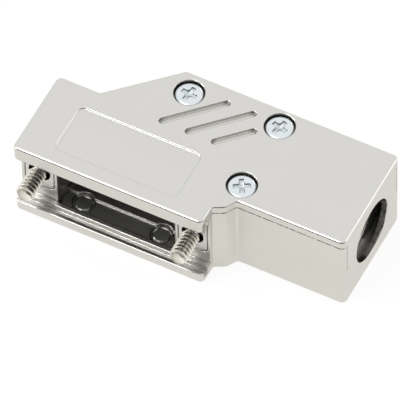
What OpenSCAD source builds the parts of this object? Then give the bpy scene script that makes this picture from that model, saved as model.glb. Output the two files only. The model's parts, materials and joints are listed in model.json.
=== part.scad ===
// D-sub hood: two die-cast half shells around the back of a nine-way connector.
// The connector sits in the mouth at the front, and the cable leaves at the right-hand end.
// Origin: the middle of the mouth, in its front plane. Heights in the modules count from the
// underside, and at_mouth() moves each finished piece down to that origin.

/* [Connector] */
// Distance between the two jackscrew axes
jackscrew_spacing = 24.99; // [24.8:0.01:25.2]
// Width of the mouth, and of the connector's flange
mouth_w = 30.8; // [30.6:0.1:32]
// Width of the bay that takes the connector's rear shell
bay_w = 19.3; // [18.9:0.1:19.6]
// Height of the connector's rear shell
rear_shell_h = 10.7; // [10.4:0.1:10.9]
// Height of the connector's flange
flange_h = 12.65; // [12.4:0.05:12.8]
// Thickness of the slot that grips the flange
flange_slot_t = 1.15; // [0.9:0.05:1.4]

/* [Mouth] */
// Thickness of the lips in front of the flange slot
lip_t = 0.55; // [0.4:0.05:0.8]
// Height of the lower lip above the underside
lower_lip_h = 1.95; // [1.6:0.05:2.3]
// Height of the upper lip below the top face
upper_lip_h = 2.55; // [2.2:0.05:2.9]
// Distance from the front plane to the end blocks
end_block_y = 2.6; // [2.5:0.05:3]
// Thickness of the end blocks
end_block_t = 1.4; // [1.1:0.1:1.8]
// Length of the ribs between the bay and the jackscrews, behind the end blocks
bay_rib_l = 4.5; // [3:0.5:5]
// Distance from the end blocks to the step up in the floor of the bay
bay_step_run = 1.6; // [1:0.1:3]
// Height of the step in the floor of the bay
bay_step_h = 0.3; // [0.2:0.05:0.5]
// Diameter of the ejector marks on the floor of the bay
ejector_mark_d = 3.4; // [2.5:0.1:4]
// Distance from the front plane to the middle of the ejector marks
ejector_mark_y = 4.5; // [4.4:0.1:5]
// Distance between the two ejector marks
ejector_mark_spacing = 12.8; // [10:0.2:14]
// Width of an ejector mark's ring
ejector_ring_w = 0.4; // [0.3:0.05:0.6]
// Depth of an ejector mark's ring
ejector_ring_h = 0.2; // [0.1:0.05:0.3]

/* [Hood] */
// Height of the closed hood
hood_h = 14.8; // [14.6:0.1:16]
// Overall width, from the left side to the cable entry's face
hood_w = 50.8; // [48:0.2:56]
// Depth of the left wing
wing_depth = 14.5; // [13.5:0.1:15.5]
// Width of the left wing at the back
wing_w = 6.8; // [6.2:0.1:8]
// Depth of the cable side, from the mouth's front plane to the back
hood_depth = 23.6; // [22.8:0.1:25]
// Angle of the sloping back wall
slope_angle = 44; // [40:1:50]
// Distance from the front plane to the cable side's front wall
entry_front_y = 5.85; // [5.6:0.05:6.2]
// Depth of the mouth's right cheek, in front of the stepped corner
cheek_depth = 3.3; // [3:0.1:3.6]
// Width of the stepped corner
step_w = 2.7; // [2.4:0.1:3.2]
// Direction of the stepped corner's first face
step_first_angle = 27; // [20:1:32]
// Direction of the stepped corner's second face
step_second_angle = 59; // [52:1:66]
// Thickness of the side walls
wall = 1; // [0.85:0.05:1.15]
// Thickness of the floor
floor_t = 1.2; // [1:0.1:1.5]
// Thickness of the cover's plate
lid_t = 1.45; // [1.35:0.05:1.8]
// Radius of the upright corners
corner_r = 0.9; // [0.5:0.1:1.3]
// Radius of the inside corners and of the stepped corner
blend_r = 0.5; // [0.3:0.1:0.7]
// Radius of the long edges round the top and the underside
edge_r = 0.4; // [0.2:0.05:0.6]
// Gap between parts of the two shells that slide together
shell_gap = 0.12; // [0.08:0.01:0.2]
// Height of the rim that centres the cover in the base
rim_h = 1; // [0.6:0.1:1.4]
// Thickness of the rim
rim_t = 0.8; // [0.6:0.1:1]

/* [Face details] */
// Width of the label recess
label_w = 19.9; // [16:0.1:22]
// Depth of the label recess from front to back
label_l = 8.5; // [6:0.1:9]
// Distance from the front plane to the label recess
label_y = 2.5; // [2:0.1:3.5]
// How deep the label recess is sunk
label_sink = 0.2; // [0.1:0.05:0.3]
// Radius of the label recess's corners
label_r = 1; // [0.5:0.1:1.5]
// Distance of the first flute's lower end from the middle of the mouth
flute_x = 1.85; // [1.4:0.05:2.4]
// Distance of the flutes' lower ends from the front plane
flute_y = 13.95; // [13.5:0.05:14.2]
// Direction of the flutes
flute_angle = 45; // [42:1:48]
// Length of the long decorative flutes
flute_l = 10.9; // [9:0.1:11.5]
// Length of the short decorative flute
short_flute_l = 7; // [5:0.1:8]
// Width of a flute
flute_w = 1.1; // [0.8:0.05:1.4]
// Distance from one flute to the next
flute_pitch = 4.25; // [3.5:0.05:4.6]
// Depth of a flute
flute_sink = 0.5; // [0.3:0.05:0.6]

/* [Cover screws] */
// Distance from the rear left cover screw to the back face
rear_left_inset = 3.4; // [3.1:0.05:3.6]
// Distance from the rear right cover screw to the back face
rear_right_inset = 2.95; // [2.85:0.05:3.6]
// Distance of the rear left cover screw from the upper end of the slope
rear_left_run = 2.2; // [2:0.05:3]
// Distance of the rear right cover screw from the stepped corner's right-hand end
rear_right_run = 0.6; // [0:0.1:0.8]
// Distance from the front cover screw to the cable side's front wall
front_screw_inset = 2.95; // [2.75:0.05:3.2]
// Distance of the front cover screw from the stepped corner's right-hand end
front_screw_run = 0.7; // [0.3:0.1:1]
// Head diameter
cover_head_d = 4.3; // [3.8:0.1:4.5]
// Head height
cover_head_h = 0.85; // [0.7:0.05:0.95]
// Thread diameter
cover_thread_d = 1.9; // [1.7:0.1:2.2]
// Length under the head
cover_screw_l = 9; // [7:0.5:10]
// Width of the cross recess in a head, as a share of the head's diameter
cross_share = 0.58; // [0.5:0.01:0.6]
// Radial room round a sunk head
head_room = 0.2; // [0.1:0.05:0.3]
// Depth of a counterbore in the cover
counterbore_h = 1.05; // [1:0.05:1.2]
// Diameter of the screw posts
post_d = 5; // [4.4:0.1:5.2]
// Height of the base's screw posts above the underside
post_h = 9.8; // [8.5:0.1:11]
// Radial room of a screw in its post
thread_room = 0.05; // [0.03:0.01:0.1]
// Room under a screw's tip in its blind hole
tip_room = 0.4; // [0.2:0.1:0.6]
// Radial room of a screw in the cover
cover_hole_room = 0.2; // [0.1:0.05:0.3]

/* [Jackscrews] */
// Thread diameter
jack_thread_d = 2.84; // [2.7:0.02:3]
// Diameter of the relieved shank
jack_shank_d = 2.4; // [2.2:0.05:2.6]
// Length of thread from the tip
jack_thread_l = 4.8; // [4.2:0.1:4.8]
// How far the tips stand out in front of the mouth
jack_reach = 2.3; // [1.5:0.1:3]
// Chamfer on the tip and on the head
jack_chamfer = 0.35; // [0.2:0.05:0.5]
// Head diameter
jack_head_d = 5; // [4.6:0.1:5.2]
// Head height
jack_head_h = 2.6; // [2:0.1:3]
// Width of the head's driver slot
jack_slot_w = 0.8; // [0.6:0.1:1]
// Depth of the head's driver slot
jack_slot_h = 1.2; // [0.8:0.1:1.4]
// Backward travel of the jackscrews
jack_travel = 3.3; // [2:0.1:3.6]
// Diameter of the hole in the end block
jack_hole_d = 3.5; // [3.46:0.02:3.7]
// Radial running room of a jackscrew in its bearing
bearing_room = 0.08; // [0.03:0.01:0.1]
// Width of the cover's tongues round the jackscrews
tongue_w = 4.6; // [4.4:0.1:4.8]
// Height of a tongue below the jackscrew's axis
tongue_drop = 3.1; // [2.6:0.1:3.6]

/* [Retaining clips] */
// Outer diameter
clip_d = 4; // [3.6:0.1:4.2]
// Thickness
clip_t = 0.5; // [0.4:0.05:0.6]
// Diameter of the groove that a clip snaps into
clip_groove_d = 1.5; // [1.4:0.05:1.7]
// Running room of a clip in its groove
clip_room = 0.05; // [0.03:0.01:0.08]
// Running room round a clip inside the shells
clip_clearance = 0.3; // [0.25:0.01:0.35]
// Width of a clip's opening, as a share of its inner diameter
clip_mouth_share = 0.85; // [0.75:0.01:0.9]

/* [Cable entry] */
// Diameter of the cable entry
entry_d = 10; // [8:0.1:10.6]
// Thickness of the entry's outer wall
entry_wall_t = 1.3; // [1:0.1:1.6]
// Diameter of the ring groove for a flanged ferrule
ferrule_groove_d = 12.4; // [11.6:0.1:12.6]
// Width of the ring groove
ferrule_groove_w = 1.2; // [0.9:0.1:1.5]
// Length of the ribbed collar behind the groove
collar_l = 3; // [2:0.1:4]
// Number of grip grooves in the collar
grip_count = 3; // [1:1:4]
// Depth of a grip groove
grip_depth = 0.3; // [0.15:0.05:0.4]
// Thickness of the base's walls beside the entry's tongue
entry_cheek_t = 0.85; // [0.7:0.05:1]

/* [Cable clamp] */
// Distance from the entry's face to the middle of the clamp
clamp_inset = 9.5; // [8.5:0.1:10]
// Width of the clamp along the cable
clamp_w = 5; // [4:0.1:5.5]
// Room between the saddle's arch and the cover
clamp_arch_gap = 1.15; // [1:0.05:1.5]
// Thickness of the saddle's ears
clamp_ear_t = 1.6; // [1.2:0.1:1.8]
// Thickness of the saddle's arch
clamp_arch_t = 1.3; // [1.1:0.1:1.5]
// Head diameter of the clamp screws
clamp_head_d = 3.4; // [3:0.1:3.6]
// Head height of the clamp screws
clamp_head_h = 1.2; // [0.9:0.1:1.5]
// Thread diameter of the clamp screws
clamp_thread_d = 1.7; // [1.5:0.1:1.8]
// Length of the clamp screws under the head
clamp_screw_l = 6; // [4.5:0.1:7]
// Room between the saddle's ears and the side walls
clamp_end_gap = 0.3; // [0.2:0.1:0.5]
// Height of the gripping teeth in the clamp
clamp_tooth_h = 0.35; // [0.2:0.05:0.5]

/* [Hidden] */
$fn = 48;
over = 1;                                   // how far a cutter reaches past what it cuts
bite = 0.1;                                 // how far one shape runs into the shape it joins
cast_colour = [0.84, 0.83, 0.81];
screw_colour = [0.87, 0.89, 0.91];
jack_colour = [0.78, 0.76, 0.72];
clip_colour = [0.35, 0.35, 0.36];
arc_step = 15;                               // widest angle between two points of a rounded corner
least_r = 0.15;                             // smallest radius left when a corner is drawn in
edge_steps = 4;                             // facets across a rounded long edge
crown_steps = 4;                            // facets across the rounded edge of a screw head
crown_share = 0.6;                          // radius of that rounded edge, as a share of the head's height
recess_arm_share = 0.27;                    // width of a recess's arms, as a share of its own
recess_middle_share = 0.5;                  // width of its tapered middle, as a share of its own
recess_depth_share = 0.7;                   // depth of a recess, as a share of the head's height
cover_screw_turns = [82, 75, 30];           // how far each tightened cover screw's recess is turned
clip_notch_angle = 55;                      // from the top of a clip to each of its notches

// Heights
parting_z = hood_h - lid_t;
axis_z = hood_h / 2;
flange_low_z = axis_z - flange_h / 2;
flange_high_z = axis_z + flange_h / 2;
upper_lip_z = hood_h - upper_lip_h;
upper_ledge_z = axis_z + rear_shell_h / 2;

// Outline seen from above, anticlockwise: corner and radius
side_x = mouth_w / 2;
entry_x = hood_w - side_x;
step_x = side_x + step_w;
entry_y = (entry_front_y + hood_depth) / 2;
step_rise = entry_front_y - cheek_depth;
step_run = (step_w * sin(step_second_angle) - step_rise * cos(step_second_angle))
    / sin(step_second_angle - step_first_angle);
wing_corner = [wing_w - side_x, wing_depth];
slope_top = wing_corner + (hood_depth - wing_depth) * [1 / tan(slope_angle), 1];
outline = [
    [[-side_x, 0], corner_r],
    [[side_x, 0], corner_r],
    [[side_x, cheek_depth], blend_r],
    [[side_x, cheek_depth] + step_run * [cos(step_first_angle), sin(step_first_angle)], 2 * blend_r],
    [[step_x, entry_front_y], blend_r],
    [[entry_x, entry_front_y], corner_r],
    [[entry_x, hood_depth], corner_r],
    [slope_top, corner_r],
    [wing_corner, blend_r],
    [[-side_x, wing_depth], corner_r],
];

// Places
jack_x = jackscrew_spacing / 2;
block_back_y = end_block_y + end_block_t;
groove_back_y = lip_t + flange_slot_t;
screw_places = [
    [slope_top.x + rear_left_run, hood_depth - rear_left_inset],
    [step_x - rear_right_run, hood_depth - rear_right_inset],
    [step_x - front_screw_run, entry_front_y + front_screw_inset],
];
head_seat_z = hood_h - counterbore_h;
clamp_x = entry_x - clamp_inset;
clamp_half = hood_depth - entry_y - wall - clamp_end_gap;
clamp_arch_r = parting_z - axis_z - clamp_arch_gap;
clamp_bore_d = 2 * (clamp_arch_r - clamp_arch_t);
clamp_screw_reach = (clamp_half + clamp_bore_d / 2) / 2;
clamp_seat_z = axis_z + clamp_ear_t;
groove_x = entry_x - entry_wall_t;
collar_x = groove_x - ferrule_groove_w;
collar_back_x = collar_x - collar_l;
tongue_places = [                           // x, front and back of each tongue
    [-jack_x, end_block_y, block_back_y],
    [jack_x, end_block_y, block_back_y],
    [-jack_x, wing_depth - wall, wing_depth],
    [jack_x, hood_depth - wall, hood_depth],
];

// ---- Outline and lofts -------------------------------------------------------------------------

function clamp_screw_y(side) = entry_y + side * clamp_screw_reach;
function unit(v) = v / norm(v);
function left_of(v) = [-v.y, v.x];
function turned(v, a) = [v.x * cos(a) - v.y * sin(a), v.x * sin(a) + v.y * cos(a)];

// Rounded corner of the outline, drawn in by inset. An outer corner's radius shrinks as it moves in,
// and an inner corner's grows, so that every drawn-in outline keeps the same wall.
function corner(before, here, after, r, inset) =
    let (
        u = unit(here - before),
        v = unit(after - here),
        n = left_of(u),
        m = left_of(v),
        turn = atan2(cross(u, v), u * v),
        side = sign(turn),
        reach = (n + m) / (1 + n * m),
        radius = max(r - side * inset, least_r),
        centre = here + (inset + side * radius) * reach,
        steps = ceil(abs(turn) / arc_step)
    )
    [for (i = [0 : steps]) centre - side * radius * turned(n, turn * i / steps)];

function plan(inset) =
    let (n = len(outline))
    [for (i = [0 : n - 1])
        let (before = outline[(i + n - 1) % n], here = outline[i], after = outline[(i + 1) % n])
        each corner(before[0], here[0], after[0], here[1], inset)];

// Solid through a stack of outlines, each level a height and how far the outline is drawn in
module loft(levels) {
    rings = [for (level = levels) [for (p = plan(level[1])) [p.x, p.y, level[0]]]];
    n = len(rings[0]);
    top = len(rings) - 1;
    polyhedron(
        points = [for (ring = rings) each ring],
        faces = [
            [for (j = [0 : n - 1]) j],
            [for (j = [n - 1 : -1 : 0]) top * n + j],
            for (i = [0 : top - 1], j = [0 : n - 1])
                [i * n + j, (i + 1) * n + j, (i + 1) * n + (j + 1) % n, i * n + (j + 1) % n],
        ],
        convexity = 8
    );
}

// Levels of a rounded long edge: at the underside when up is 1, at the top face when up is -1
function edge_levels(z, up) =
    [for (i = [0 : edge_steps])
        let (a = 90 * (up > 0 ? i : edge_steps - i) / edge_steps)
        [z + up * edge_r * (1 - cos(a)), edge_r * (1 - sin(a))]];

module slab(low, high, inset) {
    translate([0, 0, low]) linear_extrude(high - low) polygon(plan(inset));
}

// Box from one corner to the opposite one
module box(low, high) {
    translate(low) cube(high - low);
}

module along_y(x, low, high, z) {
    translate([x, low, z]) rotate([-90, 0, 0]) linear_extrude(high - low) children();
}

module along_x(low, high, y, z) {
    translate([low, y, z]) rotate([90, 0, 90]) linear_extrude(high - low) children();
}

// ---- Shapes that the two shells share ------------------------------------------------------------

// Plate round a jackscrew, hanging from the parting plane, with rounded lower corners
module tongue_profile(grow) {
    half = tongue_w / 2 + grow;
    drop = tongue_drop + grow;
    // local +y points down, because along_y turns the profile
    top = parting_z - axis_z + grow;
    translate([-half, -top]) square([2 * half, top + drop - corner_r]);
    for (side = [-1, 1]) translate([side * (half - corner_r), drop - corner_r]) circle(corner_r);
    translate([corner_r - half, 0]) square([2 * (half - corner_r), drop]);
}

// The four tongues, or with grow above 0 the notches that take them
module tongues(grow) {
    past = grow > 0 ? over : 0;
    for (place = tongue_places)
        along_y(place[0], place[1] - past, place[2] + past, axis_z) tongue_profile(grow);
}

// Everything that the cable entry cuts away: bore, ferrule groove and the collar's grip grooves
module entry_cuts() {
    along_x(collar_back_x - over, entry_x + over, entry_y, axis_z) circle(d = entry_d);
    along_x(collar_x, groove_x, entry_y, axis_z) circle(d = ferrule_groove_d);
    grip_pitch = collar_l / (grip_count + 1);
    for (i = [1 : grip_count])
        translate([collar_x - i * grip_pitch, entry_y, axis_z]) rotate([0, 90, 0]) rotate_extrude()
            polygon([
                [0, -grip_pitch / 3],
                [entry_d / 2, -grip_pitch / 3],
                [entry_d / 2 + grip_depth, 0],
                [entry_d / 2, grip_pitch / 3],
                [0, grip_pitch / 3],
            ]);
}

// ---- Base shell --------------------------------------------------------------------------------

module base_walls() {
    difference() {
        loft(concat([[-bite, edge_r]], edge_levels(0, 1), [[hood_h, 0]]));
        // underside
        box([-side_x - over, -over, -over], [entry_x + over, hood_depth + over, 0]);
        // parting plane
        box([-side_x - over, -over, parting_z], [entry_x + over, hood_depth + over, hood_h + over]);
        // inside, behind the end blocks
        difference() {
            slab(floor_t, hood_h, wall);
            box([-side_x - over, -over, 0], [side_x + step_w, block_back_y, hood_h + over]);
        }
        // everything above the lower lip, in front of the end blocks
        box([-side_x - over, -over, lower_lip_h], [side_x + over, end_block_y, hood_h]);
        // slot for the connector's flange
        box([-side_x - over, lip_t, flange_low_z], [side_x + over, groove_back_y, hood_h]);
        // bay for the connector's rear shell
        box([-bay_w / 2, end_block_y - bite, floor_t], [bay_w / 2, block_back_y + over, hood_h]);
    }
}

module base_floor_details() {
    // raised floor behind the bay
    intersection() {
        slab(floor_t - bite, floor_t + bay_step_h, wall - bite);
        box([-bay_w / 2, block_back_y + bay_step_run, 0], [entry_x, hood_depth, hood_h]);
    }
    // ribs between the bay and the jackscrews
    for (side = [-1, 1])
        box([side > 0 ? bay_w / 2 : -bay_w / 2 - wall, block_back_y - bite, floor_t - bite],
            [side > 0 ? bay_w / 2 + wall : -bay_w / 2, block_back_y + bay_rib_l, parting_z]);
}

// Post with a web to the wall behind it
module base_post(place) {
    translate([place.x, place.y, floor_t - bite]) cylinder(d = post_d, h = post_h - floor_t + bite);
    intersection() {
        slab(floor_t - bite, post_h, wall - bite);
        wall_y = place.y > entry_y ? hood_depth : entry_front_y;
        box([place.x - wall, min(place.y, wall_y), 0], [place.x + wall, max(place.y, wall_y), hood_h]);
    }
}

// Lower half of the entry's collar, and the cradle that the cable lies in
module base_cable_bed() {
    intersection() {
        slab(floor_t - bite, axis_z, wall - bite);
        union() {
            box([collar_back_x, entry_front_y, 0], [collar_x, hood_depth, hood_h]);
            box([clamp_x - clamp_w / 2, entry_front_y, 0], [clamp_x + clamp_w / 2, hood_depth, hood_h]);
        }
    }
}

module clamp_teeth() {
    for (side = [-1, 1])
        translate([clamp_x + side * clamp_w / 4, entry_y, axis_z]) rotate([0, 90, 0]) rotate_extrude()
            polygon([
                [clamp_bore_d / 2 + bite, -clamp_tooth_h - bite],
                [clamp_bore_d / 2 - clamp_tooth_h, 0],
                [clamp_bore_d / 2 + bite, clamp_tooth_h + bite],
            ]);
}

// Ring-shaped marks on the floor of the bay
module ejector_marks() {
    inner_d = ejector_mark_d - 2 * ejector_ring_w;
    for (side = [-1, 1])
        translate([side * ejector_mark_spacing / 2, ejector_mark_y, floor_t - ejector_ring_h])
            difference() {
                cylinder(d = ejector_mark_d, h = over);
                translate([0, 0, -bite]) cylinder(d = inner_d, h = ejector_ring_h + 2 * bite);
            }
}

module base_shell() {
    color(cast_colour) difference() {
        union() {
            difference() {
                union() {
                    base_walls();
                    base_floor_details();
                    for (place = screw_places) base_post(place);
                    base_cable_bed();
                }
                // cable passage through the cradle
                along_x(clamp_x - clamp_w, clamp_x + clamp_w, entry_y, axis_z) circle(d = clamp_bore_d);
            }
            intersection() {
                clamp_teeth();
                box([clamp_x - clamp_w, entry_front_y, 0], [clamp_x + clamp_w, hood_depth, axis_z]);
            }
        }
        // room for the cover's tongues, the clips and the entry's upper half
        tongues(shell_gap);
        along_y(-jack_x, block_back_y, wing_depth - wall, axis_z) circle(clip_d / 2 + clip_clearance);
        along_y(jack_x, block_back_y, hood_depth - wall, axis_z) circle(clip_d / 2 + clip_clearance);
        box([groove_x - over, entry_front_y + entry_cheek_t, axis_z],
            [entry_x + over, hood_depth - entry_cheek_t, hood_h]);
        entry_cuts();
        // tapped holes
        for (place = screw_places)
            translate([place.x, place.y, head_seat_z - cover_screw_l - tip_room])
                cylinder(d = cover_thread_d + 2 * thread_room, h = hood_h);
        for (side = [-1, 1])
            translate([clamp_x, clamp_screw_y(side), clamp_seat_z - clamp_screw_l - tip_room])
                cylinder(d = clamp_thread_d + 2 * thread_room, h = hood_h);
        ejector_marks();
    }
}

// ---- Cover shell -------------------------------------------------------------------------------

module cover_plate() {
    difference() {
        union() {
            difference() {
                loft(concat([[0, 0]], edge_levels(hood_h, -1), [[hood_h + bite, edge_r]]));
                // top face
                box([-side_x - over, -over, hood_h], [entry_x + over, hood_depth + over, hood_h + over]);
                // parting plane
                box([-side_x - over, -over, -over], [entry_x + over, hood_depth + over, parting_z]);
            }
            // upper lip, ledge and bay roof
            intersection() {
                slab(upper_lip_z, parting_z + bite, 0);
                union() {
                    box([-side_x - over, -over, 0], [side_x + over, end_block_y, hood_h]);
                    box([shell_gap - bay_w / 2, -over, upper_ledge_z],
                        [bay_w / 2 - shell_gap, block_back_y, hood_h]);
                }
            }
        }
        // slot for the connector's flange
        box([-side_x - over, lip_t, 0], [side_x + over, groove_back_y, flange_high_z]);
        // ledge, a little higher than the lip so that the rear shell passes
        box([-bay_w / 2, groove_back_y - bite, 0], [bay_w / 2, block_back_y + over, upper_ledge_z]);
    }
}

module cover_rim() {
    difference() {
        slab(parting_z - rim_h, parting_z + bite, wall + shell_gap);
        slab(parting_z - rim_h - over, parting_z + over, wall + shell_gap + rim_t);
        box([-side_x - over, -over, 0], [step_x + over, block_back_y + bay_rib_l + over, hood_h]);
    }
}

module cover_boss(place) {
    intersection() {
        translate([place.x, place.y, post_h]) cylinder(d = post_d, h = parting_z - post_h + bite);
        slab(post_h, hood_h, wall + shell_gap);
    }
}

// Upper half of the cable entry: the outer wall's tongue, and the collar's half
module cover_entry() {
    box([groove_x, entry_front_y + entry_cheek_t + shell_gap, axis_z],
        [entry_x, hood_depth - entry_cheek_t - shell_gap, parting_z + bite]);
    intersection() {
        slab(axis_z, parting_z + bite, wall + shell_gap);
        box([collar_back_x, entry_front_y, 0], [collar_x, hood_depth, hood_h]);
    }
}

module rounded_rectangle(size, r) {
    translate([r, 0]) square([size.x - 2 * r, size.y]);
    translate([0, r]) square([size.x, size.y - 2 * r]);
    for (x = [r, size.x - r], y = [r, size.y - r]) translate([x, y]) circle(r);
}

module flute(l) {
    translate([0, -flute_w / 2]) square([l, flute_w]);
    for (x = [0, l]) translate([x, 0]) circle(d = flute_w);
}

module face_cuts() {
    translate([-label_w / 2, label_y, hood_h - label_sink]) linear_extrude(over)
        rounded_rectangle([label_w, label_l], label_r);
    for (i = [0 : 2])
        translate([flute_x + i * flute_pitch, flute_y, hood_h - flute_sink])
            rotate(flute_angle) linear_extrude(over) flute((i == 2 ? short_flute_l : flute_l) - flute_w);
}

module cover_shell() {
    color(cast_colour) difference() {
        union() {
            cover_plate();
            cover_rim();
            tongues(0);
            cover_entry();
            for (place = screw_places) cover_boss(place);
        }
        face_cuts();
        entry_cuts();
        // holes in the end blocks, and bearings in the back walls
        for (place = tongue_places)
            along_y(place[0], place[1] - over, place[2] + over, axis_z)
                circle(d = place[1] == end_block_y ? jack_hole_d : jack_thread_d + 2 * bearing_room);
        for (place = screw_places) {
            translate(place) cylinder(d = cover_thread_d + 2 * cover_hole_room, h = hood_h + over);
            translate([place.x, place.y, head_seat_z]) cylinder(d = cover_head_d + 2 * head_room, h = hood_h);
        }
    }
}

// ---- Screws, jackscrews and clips ----------------------------------------------------------------

// Cross recess, cut from the head's top: four arms and a tapered middle
module cross_recess(width, depth) {
    arm = width * recess_arm_share;
    for (a = [0, 90]) rotate(a) translate([-width / 2, -arm / 2, -depth]) cube([width, arm, depth + over]);
    translate([0, 0, -depth]) cylinder(d1 = arm, d2 = width * recess_middle_share, h = depth + bite);
}

// Pan-head screw, its seat at the origin and its thread pointing down
module pan_screw(head_d, head_h, thread_d, l) {
    crown_r = head_h * crown_share;
    difference() {
        rotate_extrude() polygon([
            [0, -l],
            [thread_d / 2, -l],
            [thread_d / 2, 0],
            [head_d / 2, 0],
            for (i = [0 : crown_steps])
                let (a = 90 * i / crown_steps)
                [head_d / 2 - crown_r * (1 - cos(a)), head_h - crown_r * (1 - sin(a))],
            [0, head_h],
        ]);
        translate([0, 0, head_h]) cross_recess(head_d * cross_share, head_h * recess_depth_share);
    }
}

module cover_screw(i) {
    place = screw_places[i];
    color(screw_colour) translate([place.x, place.y, head_seat_z]) rotate(cover_screw_turns[i])
        pan_screw(cover_head_d, cover_head_h, cover_thread_d, cover_screw_l);
}

// Jackscrew along +y from its tip: thread, relieved shank with the clip's groove, bearing and head
module jackscrew(x, back_y) {
    tip = -jack_reach;
    groove_back = back_y - wall - jack_travel;
    groove_front = groove_back - clip_t - 2 * clip_room;
    color(jack_colour) translate([x, 0, axis_z]) rotate([-90, 0, 0]) difference() {
        rotate_extrude() polygon([
            [0, tip],
            [jack_thread_d / 2 - jack_chamfer, tip],
            [jack_thread_d / 2, tip + jack_chamfer],
            [jack_thread_d / 2, tip + jack_thread_l],
            [jack_shank_d / 2, tip + jack_thread_l],
            [jack_shank_d / 2, groove_front],
            [clip_groove_d / 2, groove_front],
            [clip_groove_d / 2, groove_back],
            [jack_thread_d / 2, groove_back],
            [jack_thread_d / 2, back_y],
            [jack_head_d / 2, back_y],
            [jack_head_d / 2, back_y + jack_head_h - jack_chamfer],
            [jack_head_d / 2 - jack_chamfer, back_y + jack_head_h],
            [0, back_y + jack_head_h],
        ]);
        translate([-jack_head_d, -jack_slot_w / 2, back_y + jack_head_h - jack_slot_h])
            cube([2 * jack_head_d, jack_slot_w, jack_slot_h + over]);
    }
}

// Open ring that snaps into the jackscrew's groove from below
module retaining_clip(x, back_y) {
    front = back_y - wall - jack_travel - clip_room - clip_t;
    inner_r = clip_groove_d / 2 + clip_room;
    mouth = 2 * inner_r * clip_mouth_share;
    color(clip_colour) along_y(x, front, front + clip_t, axis_z) difference() {
        circle(d = clip_d);
        circle(inner_r);
        translate([-mouth / 2, 0]) square([mouth, clip_d]);
        // the two notches that let the ring spring open
        for (side = [-1, 1]) rotate(side * clip_notch_angle) translate([0, -inner_r]) circle(inner_r / 2);
    }
}

// ---- Cable clamp -------------------------------------------------------------------------------

module clamp_saddle() {
    color(cast_colour) difference() {
        union() {
            difference() {
                along_x(clamp_x - clamp_w / 2, clamp_x + clamp_w / 2, entry_y, axis_z) intersection() {
                    union() {
                        circle(clamp_arch_r);
                        translate([-clamp_half, 0]) square([2 * clamp_half, clamp_ear_t]);
                    }
                    translate([-clamp_half, 0]) square([2 * clamp_half, 2 * clamp_arch_r]);
                }
                along_x(clamp_x - clamp_w, clamp_x + clamp_w, entry_y, axis_z) circle(d = clamp_bore_d);
            }
            intersection() {
                clamp_teeth();
                box([clamp_x - clamp_w, entry_front_y, axis_z], [clamp_x + clamp_w, hood_depth, hood_h]);
            }
        }
        for (side = [-1, 1]) {
            translate([clamp_x, clamp_screw_y(side), 0])
                cylinder(d = clamp_thread_d + 2 * cover_hole_room, h = hood_h);
            translate([clamp_x, clamp_screw_y(side), clamp_seat_z])
                cylinder(d = clamp_head_d + 2 * head_room, h = hood_h);
        }
    }
}

module clamp_screw(side) {
    color(screw_colour)
        translate([clamp_x, clamp_screw_y(side), clamp_seat_z])
            pan_screw(clamp_head_d, clamp_head_h, clamp_thread_d, clamp_screw_l);
}

// ---- The nodes ---------------------------------------------------------------------------------

module at_mouth() {
    translate([0, 0, -axis_z]) children();
}

at_mouth() base_shell();
at_mouth() cover_shell();
at_mouth() cover_screw(0);  // cover_screw_rear_left
at_mouth() cover_screw(1);  // cover_screw_rear_right
at_mouth() cover_screw(2);  // cover_screw_front
at_mouth() jackscrew(-jack_x, wing_depth);  // left_jackscrew
at_mouth() jackscrew(jack_x, hood_depth);  // right_jackscrew
at_mouth() retaining_clip(-jack_x, wing_depth);  // left_retaining_clip
at_mouth() retaining_clip(jack_x, hood_depth);  // right_retaining_clip
at_mouth() clamp_saddle();
at_mouth() clamp_screw(-1);  // clamp_screw_front
at_mouth() clamp_screw(1);  // clamp_screw_rear
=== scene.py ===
"""Looks of a metal D-sub connector hood, laid out as a Blender add-on and run as a script.

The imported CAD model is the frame. Its two shells, the clamp saddle and the clips stay as they are and get
their finish here, while the screws are made anew, with real threads, slots and cross recesses. Sizes are
in metres, and places come from the frame."""

import json
import math

import bpy
import numpy as np
from bpy.props import FloatProperty, FloatVectorProperty, PointerProperty
from bpy.types import Operator, Panel, PropertyGroup
from mathutils import Matrix, Vector


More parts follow.
